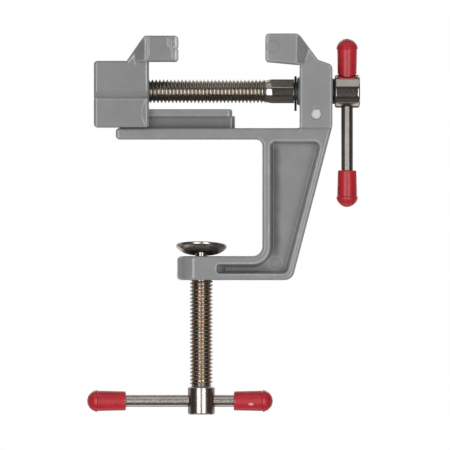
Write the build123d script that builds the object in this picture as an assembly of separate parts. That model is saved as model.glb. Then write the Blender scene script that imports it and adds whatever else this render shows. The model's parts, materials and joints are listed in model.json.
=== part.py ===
from build123d import *
from math import radians, tan
import os

# A mini vise that clamps to a table edge. A cast frame holds the fixed jaw, a lead screw draws the
# second jaw along the frame's T rail, and a clamp screw pinches the table from below.
# Millimetres. The origin is on the seat under the frame's table, where the clamp screw's axis meets
# it in the middle plane. +Z is up and +X runs from the sliding jaw to the fixed jaw.

# Both castings
EDGE = 0.8  # rounding along the jaws' and rail's edges
BODY_EDGE = 1.1  # rounding along the C frame and the sliding jaw
PLAY = 0.25  # gap between faces that slide
RUNNING = 0.06  # radial clearance of a screw in its bore
TOUCH = 0.01  # how near counts as lying on a face
BODY_WIDTH = 19.2  # column and upper half of the sliding jaw
JAW_WIDTH = 28.0
NECK_LEAN = 0.265  # how far a jaw's neck moves back for each millimetre of height

# Frame: table, leg and arm
TABLE_LEFT = -28.9
TABLE_TOP = 3.8
TABLE_CORNER = 1.25
LEG_INNER = 20.6
LEG_TOP_R = 2.2
LEG_FOOT_R = 3.4
OUTER_AT_SEAT = 43.1
LEAN = 14.6  # degrees between the leg's outer edge and the vertical
ARM_TOP = -39.4
ARM_BOTTOM = -47.5
ARM_WIDTH = 15.8
HEEL_R = 3.4
BOSS_R = 8.35
BOSS_BLEND = 2.5  # rounding where the boss runs into the arm's flat sides

# Pockets in both sides of the leg and arm
POCKET_DEPTH = 5.8
POCKET_DRAFT = 8.0
POCKET_FLOOR_R = 0.6
POCKET_MOUTH_R = 0.4
POCKET_TOP = -0.6
POCKET_LEFT = 5.2
POCKET_CORNER = 2.0
POCKET_END_R = 1.0
INNER_FLANGE = 2.5
OUTER_FLANGE = 2.2
UPPER_FLANGE = 2.7
LOWER_FLANGE = 2.2

# T rail
RAIL_RIGHT = 10.5
RAIL_TOP = 10.2
RAIL_HEAD_LOW = 7.6
RAIL_HEAD_WIDTH = 12.0
RAIL_NECK_WIDTH = 7.2
RAIL_NOSE = 0.9  # how far the neck runs past the head
RAIL_NOSE_R = 1.6

# Column and fixed jaw
COLUMN_LEFT = 33.2
COLUMN_RIGHT = 44.25
COLUMN_SHOULDER = 25.2
COLUMN_CORNER = 2.2
COLUMN_FOOT_R = 0.8
SLOPE_LOW = (39.4, 26.9)
SLOPE_HIGH = (33.4, 34.9)
FIXED_FACE = 21.6
FIXED_TOP = 35.66
FIXED_UNDER = 26.3
FIXED_WING = 32.3  # the jaw keeps its full width up to here
FIXED_NECK = 34.6  # and has the column's width from here on, at its underside
JAW_CORNER = 1.25
EJECTOR_R = 2.2
EJECTOR_DEPTH = 0.2
EJECTOR_MARKS = (
    (24.2, 31.2, JAW_WIDTH),
    (38.75, 8.6, BODY_WIDTH),
    (25.1, -41.7, ARM_WIDTH - 2 * POCKET_DEPTH),
)

# Sliding jaw
SLIDER_LEFT = -36.25
SLIDER_RIGHT = -17.64
SLIDER_TOP = 26.5
SKIRT_WIDTH = 22.4
SKIRT_TOP = 13.7
FLARE_HEIGHT = 2.9
SLIDER_SLOPE_LOW = (-25.2, SLIDER_TOP)
SLIDER_SLOPE_HIGH = (-19.75, 34.2)
SLIDER_FACE = -7.67
SLIDER_JAW_TOP = 34.95
SLIDER_JAW_UNDER = 26.3
SLIDER_WING = -19.1
SLIDER_NECK = -21.9
GRIP_NOTCH_Z = 30.7
GRIP_NOTCH = 0.5

# Screws
SCREW_R = 3.98
SHANK_R = 4.03
BAR_R = 2.0
BAR_PLAY = 0.1
LEAD_Z = 16.29
LEAD_TIP = -34.0
LEAD_SHANK = 24.4  # where the plain shank begins
LEAD_HEAD_LEFT = 45.1
LEAD_HEAD_RIGHT = 53.6
LEAD_HEAD_R = 5.55
LEAD_BAR_X = 49.26
HEAD_CHAMFER = 0.7
TIP_CHAMFER = 0.8
CLAMP_TIP = -39.9
CLAMP_HEAD_TOP = -83.7
CLAMP_HEAD_BOTTOM = -92.9
CLAMP_HEAD_R = 4.65
CLAMP_BAR_Z = -88.3

# E clip
CLIP_LEFT = 31.45
CLIP_THICKNESS = 0.75
CLIP_R = 6.7
CLIP_INNER_R = 4.7
CLIP_SEAT_R = 3.05
CLIP_PRONG = 3.0
CLIP_PRONG_ANGLES = (-90, 25, 155)
CLIP_OPENING = 82  # degrees, at the top
GROOVE_R = 3.0
GROOVE_PLAY = 0.1

# Soft caps: mouth, dome rim and tip along each bar
CAP_MOUTH_R = 3.2
CAP_BODY_R = 3.4
CAP_RIM_R = 3.72
CAP_RIM_STEP = 0.25
CAP_DOME = 3.35
CAP_FLOOR = 2.3  # thickness between the bar's end and the tip
CAP_GRIP = 0.02  # gap between cap and bar
LEAD_UPPER_MOUTH = 20.6
LEAD_UPPER_TIP = 34.05
LEAD_LOWER_MOUTH = -10.4
LEAD_LOWER_TIP = -22.8
CLAMP_LEFT_MOUTH = -25.4
CLAMP_LEFT_TIP = -38.6
CLAMP_RIGHT_MOUTH = 10.9
CLAMP_RIGHT_TIP = 24.2
SADDLE_PLAY = 0.05

# Swivel pad and its rivet
PAD_R = 8.55
PAD_RIM_Z = -35.45
PAD_LIP = 0.8
PAD_SHEET = 0.9
PAD_HUB_R = 4.7
PAD_HUB_Z = -38.55
PAD_HOLE_R = 2.6
PAD_TILT = 9.34  # degrees, resting against its stop
PAD_TILT_AXIS = (0.9636, -0.2677, 0)
RIVET_R = 2.1
RIVET_HEAD_R = 3.3
RIVET_HEAD_LOW = -37.2
RIVET_HEAD_TOP = -36.1
RIVET_DEPTH = 6.0


def outline_of(*points):
    """A closed outline through these points."""
    return make_face(Polyline(*points, close=True))


def rounded(outline, radius, *corners):
    """The outline with the corners nearest to these points rounded."""
    nearest = [outline.vertices().sort_by_distance(corner)[0] for corner in corners]
    return fillet(nearest, radius)


def slab(outline, width):
    """An outline of (x, z) points made as wide as this, about the middle plane."""
    return extrude(Plane.XZ * outline, width / 2, both=True)


def bore_x(radius, z, left, right):
    """A round hole or pin along X."""
    return extrude(Plane.YZ.offset(left) * Pos(0, z) * Circle(radius), right - left)


def outer_edge(z):
    """Where the leg's leaning outer edge stands at this height."""
    return OUTER_AT_SEAT + z * tan(radians(LEAN))


def arm_boss():
    """The round boss at the arm's tip, wider than the arm."""
    height = ARM_TOP - ARM_BOTTOM
    return Pos(0, 0, ARM_BOTTOM + height / 2) * Cylinder(BOSS_R, height)


def beside_boss(edge):
    """Whether an edge stands upright where the boss runs into the arm's flat sides."""
    return abs(edge.center().Z - (ARM_TOP + ARM_BOTTOM) / 2) < TOUCH


def pocket():
    """The recess in the back of the leg and arm: drafted walls, a rounded floor, and the boss's
    round standing in its end."""
    inner = LEG_INNER + INNER_FLANGE
    high = ARM_TOP - UPPER_FLANGE
    low = ARM_BOTTOM + LOWER_FLANGE
    top_right = (outer_edge(POCKET_TOP) - OUTER_FLANGE, POCKET_TOP)
    heel = (outer_edge(low) - OUTER_FLANGE, low)
    outline = outline_of(
        (POCKET_LEFT, low), heel, top_right, (inner, POCKET_TOP), (inner, high), (POCKET_LEFT, high)
    )
    outline = rounded(outline, POCKET_CORNER, (inner, POCKET_TOP), top_right, heel)
    outline = rounded(outline, LEG_FOOT_R + INNER_FLANGE, (inner, high))
    outline = rounded(outline, POCKET_END_R, (POCKET_LEFT, low), (POCKET_LEFT, high))
    back = Plane.XZ.offset(-ARM_WIDTH / 2)
    recess = extrude(back * outline, POCKET_DEPTH, taper=POCKET_DRAFT)
    recess = fillet(recess.faces().sort_by(Axis.Y)[0].edges(), POCKET_FLOOR_R)
    return recess - arm_boss()


def c_frame():
    """Table, leg and arm as one C, with the round boss at the arm's tip and both pockets."""
    heel = (outer_edge(ARM_BOTTOM), ARM_BOTTOM)
    outline = outline_of(
        (TABLE_LEFT, 0),
        (LEG_INNER, 0),
        (LEG_INNER, ARM_TOP),
        (0, ARM_TOP),
        (0, ARM_BOTTOM),
        heel,
        (outer_edge(TABLE_TOP), TABLE_TOP),
        (outer_edge(TABLE_TOP), LEAD_Z - SHANK_R),
        (COLUMN_LEFT, LEAD_Z - SHANK_R),
        (COLUMN_LEFT, TABLE_TOP),
        (TABLE_LEFT, TABLE_TOP),
    )
    outline = rounded(outline, TABLE_CORNER, (TABLE_LEFT, 0), (TABLE_LEFT, TABLE_TOP))
    outline = rounded(outline, COLUMN_FOOT_R, (COLUMN_LEFT, TABLE_TOP))
    outline = rounded(outline, LEG_TOP_R, (LEG_INNER, 0))
    outline = rounded(outline, LEG_FOOT_R, (LEG_INNER, ARM_TOP))
    outline = rounded(outline, HEEL_R, heel)
    boss = arm_boss()
    room = Pos(boss.center()) * Box(2 * BOSS_R, ARM_WIDTH, 2 * BOSS_R)
    body = slab(outline, ARM_WIDTH) + (boss & room)
    body = fillet(body.edges().filter_by(beside_boss), BOSS_BLEND)
    rims = body.edges().filter_by(lambda e: e.geom_type == GeomType.CIRCLE and e.radius == BOSS_R)
    sides = body.faces().filter_by(Axis.Y).edges().filter_by(lambda e: not beside_boss(e))
    body = fillet(sides + rims, BODY_EDGE)
    recess = pocket()
    body -= recess + mirror(recess, Plane.XZ)
    pierced = [face for face in body.faces().filter_by(Axis.Y) if face.inner_wires()]
    mouths = [edge for face in pierced for edge in face.inner_wires()[0].edges()]
    return fillet(mouths, POCKET_MOUTH_R)


def rail():
    """The T rail on the table, its neck running out past the head in a rounded nose."""
    right = RAIL_RIGHT + RAIL_NOSE
    length = right - TABLE_LEFT - TABLE_CORNER
    neck = Pos(right - length / 2, 0) * Rectangle(length, RAIL_NECK_WIDTH)
    neck = fillet(neck.vertices().group_by(Axis.X)[-1], RAIL_NOSE_R)
    neck = extrude(Plane.XY.offset(TABLE_TOP - PLAY) * neck, RAIL_HEAD_LOW - TABLE_TOP + 2 * PLAY)
    length -= RAIL_NOSE
    head = Pos(RAIL_RIGHT - length / 2, 0) * Rectangle(length, RAIL_HEAD_WIDTH)
    head = fillet(head.vertices().group_by(Axis.X)[-1], RAIL_NOSE_R)
    head = extrude(Plane.XY.offset(RAIL_HEAD_LOW) * head, RAIL_TOP - RAIL_HEAD_LOW)
    return neck + fillet(head.faces().sort_by(Axis.Z)[-1].edges(), EDGE)


def jaw_plan(face, wing, neck, tail, low, high):
    """A jaw's room seen from above: full width behind its face, then necking down to the body."""
    lean = NECK_LEAN if tail > face else -NECK_LEAN
    sections = []
    for z in (low, high):
        back = neck + lean * (z - low)
        half = [(face, JAW_WIDTH / 2), (wing, JAW_WIDTH / 2), (back, BODY_WIDTH / 2)]
        half.append((tail, BODY_WIDTH / 2))
        other = [(x, -y) for x, y in reversed(half)]
        sections.append(Plane.XY.offset(z) * outline_of(*half, *other))
    return loft(sections, ruled=True)


def side_edges(casting, width):
    """The edges of the casting's side faces that are this far apart."""
    return casting.edges().filter_by(lambda e: abs(abs(e.center().Y) - width / 2) < TOUCH)


def under_wing(edge):
    """Whether an edge of the column's side is one where the jaw's wings join it."""
    return edge.geom_type == GeomType.BSPLINE or abs(edge.center().Z - COLUMN_SHOULDER) < TOUCH


def fixed_jaw():
    """The column with the fixed jaw that overhangs the table."""
    right_foot = (outer_edge(TABLE_TOP), TABLE_TOP)
    shoulder = (COLUMN_RIGHT, COLUMN_SHOULDER)
    top_back = (FIXED_WING, FIXED_TOP)
    outline = outline_of(
        (COLUMN_LEFT, TABLE_TOP),
        right_foot,
        (COLUMN_RIGHT, TABLE_TOP + COLUMN_FOOT_R),
        shoulder,
        SLOPE_LOW,
        SLOPE_HIGH,
        top_back,
        (FIXED_FACE, FIXED_TOP),
        (FIXED_FACE, FIXED_UNDER),
        (COLUMN_LEFT, COLUMN_SHOULDER),
    )
    outline = rounded(outline, COLUMN_CORNER, shoulder)
    outline = rounded(outline, JAW_CORNER, (FIXED_FACE, FIXED_TOP), (FIXED_FACE, FIXED_UNDER))
    left = COLUMN_LEFT - COLUMN_FOOT_R
    column = Pos((left + COLUMN_RIGHT) / 2, 0) * Box(
        COLUMN_RIGHT - left, BODY_WIDTH, 2 * FIXED_TOP
    )
    plan = jaw_plan(
        FIXED_FACE, FIXED_WING, FIXED_NECK, COLUMN_RIGHT, COLUMN_SHOULDER, FIXED_TOP
    )
    body = slab(outline, JAW_WIDTH) & (column + plan)
    column_edges = side_edges(body, BODY_WIDTH).filter_by(lambda e: not under_wing(e))
    return fillet(side_edges(body, JAW_WIDTH) + column_edges, EDGE)


def ejector_marks():
    """Shallow round marks that the mould's ejector pins leave on the front."""
    marks = [
        Plane.XZ.offset(width / 2) * Pos(x, z) * Cylinder(EJECTOR_R, 2 * EJECTOR_DEPTH)
        for x, z, width in EJECTOR_MARKS
    ]
    return marks


def vise_frame():
    """The frame casting with its two screw bores."""
    body = c_frame() + rail() + fixed_jaw()
    body -= bore_x(SHANK_R + RUNNING, LEAD_Z, FIXED_FACE, LEAD_HEAD_LEFT)
    height = ARM_TOP - ARM_BOTTOM
    body -= Pos(0, 0, ARM_BOTTOM + height / 2) * Cylinder(SCREW_R + RUNNING, 2 * height)
    for mark in ejector_marks():
        body -= mark
    return body


def slider_body():
    """The sliding jaw's body: one section along the rail, flared above its skirt."""
    half = BODY_WIDTH / 2
    skirt = SKIRT_WIDTH / 2
    low = TABLE_TOP + PLAY
    flare_top = SKIRT_TOP + FLARE_HEIGHT
    sides = []
    for s in (1, -1):
        flare = TangentArc((s * half, flare_top), (s * skirt, SKIRT_TOP), tangent=(0, -1))
        sides.append(flare)
    top = Polyline((-half, flare_top), (-half, SLIDER_TOP), (half, SLIDER_TOP), (half, flare_top))
    foot = Polyline((skirt, SKIRT_TOP), (skirt, low), (-skirt, low), (-skirt, SKIRT_TOP))
    section = make_face(Curve() + [top, foot, *sides])
    return extrude(Plane.YZ.offset(SLIDER_LEFT) * section, SLIDER_RIGHT - SLIDER_LEFT)


def slider_head():
    """The overhanging jaw of the sliding casting, with its sloping back and gripping notch."""
    notch = [
        (SLIDER_FACE, GRIP_NOTCH_Z - GRIP_NOTCH),
        (SLIDER_FACE - GRIP_NOTCH, GRIP_NOTCH_Z),
        (SLIDER_FACE, GRIP_NOTCH_Z + GRIP_NOTCH),
    ]
    face_low = (SLIDER_FACE, SLIDER_JAW_UNDER)
    face_high = (SLIDER_FACE, SLIDER_JAW_TOP)
    top_back = (SLIDER_WING, SLIDER_JAW_TOP)
    outline = outline_of(
        (SLIDER_SLOPE_LOW[0], SKIRT_TOP),
        (SLIDER_RIGHT, SKIRT_TOP),
        (SLIDER_RIGHT, SLIDER_JAW_UNDER),
        face_low,
        *notch,
        face_high,
        top_back,
        SLIDER_SLOPE_HIGH,
        SLIDER_SLOPE_LOW,
    )
    outline = rounded(outline, JAW_CORNER, face_low, face_high)
    plan = jaw_plan(
        SLIDER_FACE, SLIDER_WING, SLIDER_NECK, SLIDER_LEFT, SLIDER_JAW_UNDER, SLIDER_JAW_TOP
    )
    root = Pos(SLIDER_LEFT / 2 + SLIDER_RIGHT / 2, 0, SKIRT_TOP) * Box(
        SLIDER_RIGHT - SLIDER_LEFT, BODY_WIDTH, 2 * (SLIDER_JAW_UNDER - SKIRT_TOP)
    )
    return slab(outline, JAW_WIDTH) & (plan + root)


def rail_slot():
    """Room for the T rail, through the whole sliding jaw."""
    neck = RAIL_NECK_WIDTH / 2 + PLAY
    head = RAIL_HEAD_WIDTH / 2 + PLAY
    low = RAIL_HEAD_LOW - PLAY
    high = RAIL_TOP + PLAY
    section = outline_of(
        (-neck, 0), (neck, 0), (neck, low), (head, low), (head, high), (-head, high), (-head, low),
        (-neck, low),
    )
    return extrude(Plane.YZ.offset(SLIDER_LEFT) * section, SLIDER_RIGHT - SLIDER_LEFT)


def sliding_jaw():
    """The sliding casting, slotted for the rail and bored for the lead screw."""
    body = slider_body() + slider_head()
    ends = body.faces().filter_by(Axis.X)
    left = ends.sort_by(Axis.X)[0].edges()
    right = ends.filter_by(lambda f: abs(f.center().X - SLIDER_RIGHT) < TOUCH).edges()
    right = right.filter_by(lambda e: e.center().Z < SLIDER_JAW_UNDER - BODY_EDGE)
    back = side_edges(body, BODY_WIDTH).filter_by(
        lambda e: e.center().Z > SLIDER_JAW_UNDER + TOUCH and e.center().X < SLIDER_NECK - BODY_EDGE
    )
    foot = body.faces().sort_by(Axis.Z)[0].edges().filter_by(Axis.X)
    body = fillet(left + right + back + foot + side_edges(body, JAW_WIDTH), BODY_EDGE)
    body -= rail_slot()
    return body - bore_x(SCREW_R + RUNNING, LEAD_Z, SLIDER_LEFT, SLIDER_RIGHT)


def lead_screw():
    """Turned lead screw: threaded length, plain shank with the clip's groove, and drilled head."""
    groove_left = CLIP_LEFT - GROOVE_PLAY
    groove_right = CLIP_LEFT + CLIP_THICKNESS + GROOVE_PLAY
    profile = outline_of(
        (LEAD_TIP, 0),
        (LEAD_TIP, SCREW_R - TIP_CHAMFER),
        (LEAD_TIP + TIP_CHAMFER, SCREW_R),
        (LEAD_SHANK, SCREW_R),
        (LEAD_SHANK, SHANK_R),
        (groove_left, SHANK_R),
        (groove_left, GROOVE_R),
        (groove_right, GROOVE_R),
        (groove_right, SHANK_R),
        (LEAD_HEAD_LEFT, SHANK_R),
        (LEAD_HEAD_LEFT, LEAD_HEAD_R - HEAD_CHAMFER),
        (LEAD_HEAD_LEFT + HEAD_CHAMFER, LEAD_HEAD_R),
        (LEAD_HEAD_RIGHT - HEAD_CHAMFER, LEAD_HEAD_R),
        (LEAD_HEAD_RIGHT, LEAD_HEAD_R - HEAD_CHAMFER),
        (LEAD_HEAD_RIGHT, 0),
    )
    screw = Pos(0, 0, LEAD_Z) * revolve(Plane.XZ * profile, Axis.X)
    return screw - Pos(LEAD_BAR_X, 0, LEAD_Z) * Cylinder(BAR_R + BAR_PLAY, 2 * LEAD_HEAD_RIGHT)


def screw_clip():
    """E clip: an open ring whose three prongs reach down into the shank's groove."""
    ring = Circle(CLIP_R) - Circle(CLIP_INNER_R)
    reach = (CLIP_R + CLIP_INNER_R) / 2
    for angle in CLIP_PRONG_ANGLES:
        ring += Rot(0, 0, angle) * Pos(reach / 2, 0) * Rectangle(reach, CLIP_PRONG)
    mouth = 2 * CLIP_R * tan(radians(CLIP_OPENING / 2))
    wedge = outline_of((0, 0), (mouth / 2, CLIP_R), (-mouth / 2, CLIP_R))
    ring = ring - wedge - Circle(CLIP_SEAT_R)
    return extrude(Plane.YZ.offset(CLIP_LEFT) * Pos(0, LEAD_Z) * ring, CLIP_THICKNESS)


def cap(length):
    """A soft cap with its mouth at the origin and its domed tip up at this length."""
    dome_low = length - CAP_DOME
    floor = length - CAP_FLOOR
    bore = BAR_R + CAP_GRIP
    side = Polyline(
        (bore, floor),
        (bore, 0),
        (CAP_MOUTH_R, 0),
        (CAP_BODY_R, dome_low - CAP_RIM_STEP),
        (CAP_RIM_R, dome_low),
    )
    dome = TangentArc((0, length), (CAP_RIM_R, dome_low), tangent=(1, 0))
    core = Polyline((0, length), (0, floor), (bore, floor))
    return revolve(Plane.XZ * make_face(Curve() + [side, dome, core]), Axis.Z)


def bar_along_z(x, low, high):
    """A plain bar along Z with broken edges."""
    bar = Pos(x, 0, (low + high) / 2) * Cylinder(BAR_R, high - low)
    return chamfer(bar.edges(), BAR_R / 10)


def lead_bar():
    """The lead screw's bar, from cap to cap."""
    return bar_along_z(LEAD_BAR_X, LEAD_LOWER_TIP + CAP_FLOOR, LEAD_UPPER_TIP - CAP_FLOOR)


def lead_upper_grip():
    """The upper cap, its mouth bedded on the round of the screw's head."""
    grip = Pos(LEAD_BAR_X, 0, LEAD_UPPER_MOUTH) * cap(LEAD_UPPER_TIP - LEAD_UPPER_MOUTH)
    return grip - bore_x(LEAD_HEAD_R + SADDLE_PLAY, LEAD_Z, LEAD_HEAD_LEFT - EDGE, LEAD_HEAD_RIGHT)


def lead_lower_grip():
    """The lower cap of the lead screw's bar, tip down."""
    grip = cap(LEAD_LOWER_MOUTH - LEAD_LOWER_TIP)
    return Pos(LEAD_BAR_X, 0, LEAD_LOWER_MOUTH) * Rot(180, 0, 0) * grip


def clamp_screw():
    """The clamp screw, drilled across its head for the bar and up its tip for the rivet."""
    profile = outline_of(
        (0, CLAMP_TIP),
        (SCREW_R - TIP_CHAMFER, CLAMP_TIP),
        (SCREW_R, CLAMP_TIP - TIP_CHAMFER),
        (SCREW_R, CLAMP_HEAD_TOP),
        (CLAMP_HEAD_R, CLAMP_HEAD_TOP),
        (CLAMP_HEAD_R, CLAMP_HEAD_BOTTOM + HEAD_CHAMFER),
        (CLAMP_HEAD_R - HEAD_CHAMFER, CLAMP_HEAD_BOTTOM),
        (0, CLAMP_HEAD_BOTTOM),
    )
    screw = revolve(Plane.XZ * profile, Axis.Z)
    screw -= bore_x(BAR_R + BAR_PLAY, CLAMP_BAR_Z, -2 * CLAMP_HEAD_R, 2 * CLAMP_HEAD_R)
    return screw - Pos(0, 0, CLAMP_TIP) * Cylinder(RIVET_R + RUNNING, 2 * RIVET_DEPTH + PLAY)


def clamp_bar():
    """The clamp screw's bar, lying along X."""
    low = CLAMP_LEFT_TIP + CAP_FLOOR
    high = CLAMP_RIGHT_TIP - CAP_FLOOR
    return Pos(0, 0, CLAMP_BAR_Z) * Rot(0, 90, 0) * bar_along_z(0, low, high)


def clamp_left_grip():
    """The left cap of the clamp screw's bar."""
    grip = cap(CLAMP_LEFT_MOUTH - CLAMP_LEFT_TIP)
    return Pos(CLAMP_LEFT_MOUTH, 0, CLAMP_BAR_Z) * Rot(0, -90, 0) * grip


def clamp_right_grip():
    """The right cap of the clamp screw's bar."""
    grip = cap(CLAMP_RIGHT_TIP - CLAMP_RIGHT_MOUTH)
    return Pos(CLAMP_RIGHT_MOUTH, 0, CLAMP_BAR_Z) * Rot(0, 90, 0) * grip


def swivel_pad():
    """Pressed pad: a dished disc with an upright lip, tipped on its rivet."""
    lip_low = PAD_RIM_Z - PAD_LIP
    floor = PAD_HUB_Z + PAD_SHEET
    profile = outline_of(
        (PAD_HOLE_R, PAD_HUB_Z),
        (PAD_HUB_R, PAD_HUB_Z),
        (PAD_R, lip_low),
        (PAD_R, PAD_RIM_Z),
        (PAD_R - PAD_SHEET, PAD_RIM_Z),
        (PAD_R - PAD_SHEET, lip_low + PAD_SHEET / 2),
        (PAD_HUB_R - PAD_SHEET / 2, floor),
        (PAD_HOLE_R, floor),
    )
    profile = rounded(profile, PAD_SHEET / 2, (PAD_R, lip_low), (PAD_HUB_R, PAD_HUB_Z))
    profile = rounded(profile, PAD_SHEET / 3, (PAD_R, PAD_RIM_Z), (PAD_R - PAD_SHEET, PAD_RIM_Z))
    pad = revolve(Plane.XZ * profile, Axis.Z)
    pivot = (0, 0, PAD_HUB_Z + PAD_SHEET / 2)
    return pad.rotate(Axis(pivot, PAD_TILT_AXIS), -PAD_TILT)


def pad_rivet():
    """The rivet: its pin turns in the screw's tip and its flat dome keeps the pad on."""
    side = Polyline(
        (0, RIVET_HEAD_TOP),
        (0, CLAMP_TIP - RIVET_DEPTH),
        (RIVET_R, CLAMP_TIP - RIVET_DEPTH),
        (RIVET_R, RIVET_HEAD_LOW),
        (RIVET_HEAD_R, RIVET_HEAD_LOW + PLAY),
    )
    dome = TangentArc((0, RIVET_HEAD_TOP), (RIVET_HEAD_R, RIVET_HEAD_LOW + PLAY), tangent=(1, 0))
    return revolve(Plane.XZ * make_face(Curve() + [side, dome]), Axis.Z)


PIECES = (
    vise_frame,
    sliding_jaw,
    lead_screw,
    screw_clip,
    lead_bar,
    lead_upper_grip,
    lead_lower_grip,
    clamp_screw,
    clamp_bar,
    clamp_left_grip,
    clamp_right_grip,
    swivel_pad,
    pad_rivet,
)

os.makedirs("parts", exist_ok=True)
for piece in PIECES:
    export_step(piece(), f"parts/{piece.__name__}.step")
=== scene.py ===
import json
import math

import bmesh
import bpy
from bpy.props import FloatProperty, FloatVectorProperty, IntProperty, PointerProperty
from mathutils import Matrix, Vector


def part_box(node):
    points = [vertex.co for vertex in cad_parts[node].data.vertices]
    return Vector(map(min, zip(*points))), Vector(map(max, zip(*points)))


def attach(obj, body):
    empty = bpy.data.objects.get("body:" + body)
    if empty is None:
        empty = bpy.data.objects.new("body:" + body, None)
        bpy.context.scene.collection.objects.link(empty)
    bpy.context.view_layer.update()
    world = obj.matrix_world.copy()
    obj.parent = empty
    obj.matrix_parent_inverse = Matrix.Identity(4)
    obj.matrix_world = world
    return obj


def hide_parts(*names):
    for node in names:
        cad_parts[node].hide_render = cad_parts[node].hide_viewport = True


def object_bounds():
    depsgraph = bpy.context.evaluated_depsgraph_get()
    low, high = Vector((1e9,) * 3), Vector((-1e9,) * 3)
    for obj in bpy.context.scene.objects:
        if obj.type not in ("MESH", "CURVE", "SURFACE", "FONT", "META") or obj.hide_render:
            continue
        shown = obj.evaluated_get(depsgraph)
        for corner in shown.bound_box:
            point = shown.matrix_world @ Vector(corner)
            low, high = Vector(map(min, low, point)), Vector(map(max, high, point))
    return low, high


bl_info = {
    "name": "Clamp-on bench vise",
    "version": (1, 0, 0),
    "blender": (4, 5, 0),
    "location": "3D View > Sidebar > Vise",
    "description": "Fine forms and finishes of a small bench vise that clamps to a table edge",
    "category": "Object",
}

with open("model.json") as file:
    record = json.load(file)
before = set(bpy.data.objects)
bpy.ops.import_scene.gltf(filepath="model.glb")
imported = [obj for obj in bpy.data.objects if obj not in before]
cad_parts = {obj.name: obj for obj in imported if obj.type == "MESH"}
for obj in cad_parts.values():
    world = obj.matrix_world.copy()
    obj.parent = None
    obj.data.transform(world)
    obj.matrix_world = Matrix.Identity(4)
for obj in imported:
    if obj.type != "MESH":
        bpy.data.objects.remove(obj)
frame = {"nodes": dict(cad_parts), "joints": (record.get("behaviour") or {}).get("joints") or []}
CAD_LOW, CAD_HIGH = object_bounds()

MM = 0.001
WELD = 1e-6
SHARP = math.radians(28)
EDGE_BREAK = 0.12 * MM

# Places read from the frame
LEAD_LOW, LEAD_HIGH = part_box("lead_screw")
CLAMP_LOW, CLAMP_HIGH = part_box("clamp_screw")
CLIP_LOW, CLIP_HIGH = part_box("screw_clip")
LEAD_BAR_LOW, LEAD_BAR_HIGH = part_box("lead_bar")
CLAMP_BAR_LOW, CLAMP_BAR_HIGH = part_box("clamp_bar")
RIVET_LOW, RIVET_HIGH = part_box("pad_rivet")
LEAD_Z = (LEAD_LOW.z + LEAD_HIGH.z) / 2
LEAD_HEAD_R = (LEAD_HIGH.z - LEAD_LOW.z) / 2
CLAMP_HEAD_R = (CLAMP_HIGH.x - CLAMP_LOW.x) / 2
LEAD_BAR_X = (LEAD_BAR_LOW.x + LEAD_BAR_HIGH.x) / 2
CLAMP_BAR_Z = (CLAMP_BAR_LOW.z + CLAMP_BAR_HIGH.z) / 2
BAR_R = (LEAD_BAR_HIGH.x - LEAD_BAR_LOW.x) / 2
SLIDING_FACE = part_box("sliding_jaw")[1].x
PAD_JOINT = next(joint for joint in frame["joints"] if joint["name"] == "pad_tilt")
ALONG_X = Matrix.Rotation(math.pi / 2, 4, "Y")
ON_LEAD_AXIS = Matrix.Translation((0, 0, LEAD_Z)) @ ALONG_X
ON_CLAMP_BAR = Matrix.Translation((0, 0, CLAMP_BAR_Z)) @ ALONG_X

# Places that the finishes follow
FIXED_FACE = 21.6 * MM
JAWS_UNDERSIDE = 26.3 * MM
PIN_MARK_R = 2.2 * MM
POCKET_FLOOR = 2.1 * MM
POCKET_WALL = 22.3 * MM
RAIL_END = 12 * MM
RAIL_HEAD_LOW = 7.8 * MM
RAIL_STEM_MIDDLE = 5.8 * MM
RAIL_STEM_HALF = 4.4 * MM
CAP_PAINTED_HIGHLIGHT = Vector((16.8, -3.25, -89.4)) * MM


# Settings that a user would change


class ThreadSettings(bpy.types.PropertyGroup):
    """The metric thread of both screws."""

    major: FloatProperty(
        name="Crest radius", description="Radius over the crests", default=3.98 * MM, unit="LENGTH"
    )
    pitch: FloatProperty(
        name="Pitch", description="Travel in one turn", default=1.25 * MM, unit="LENGTH"
    )
    depth: FloatProperty(
        name="Depth", description="From crest to root", default=0.84 * MM, unit="LENGTH"
    )
    crest: FloatProperty(
        name="Crest", description="Share of the pitch that is crest", default=0.22, subtype="FACTOR"
    )
    root: FloatProperty(
        name="Root", description="Share of the pitch that is root", default=0.14, subtype="FACTOR"
    )
    steps: IntProperty(name="Steps", description="Segments in one turn", default=48)


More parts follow.
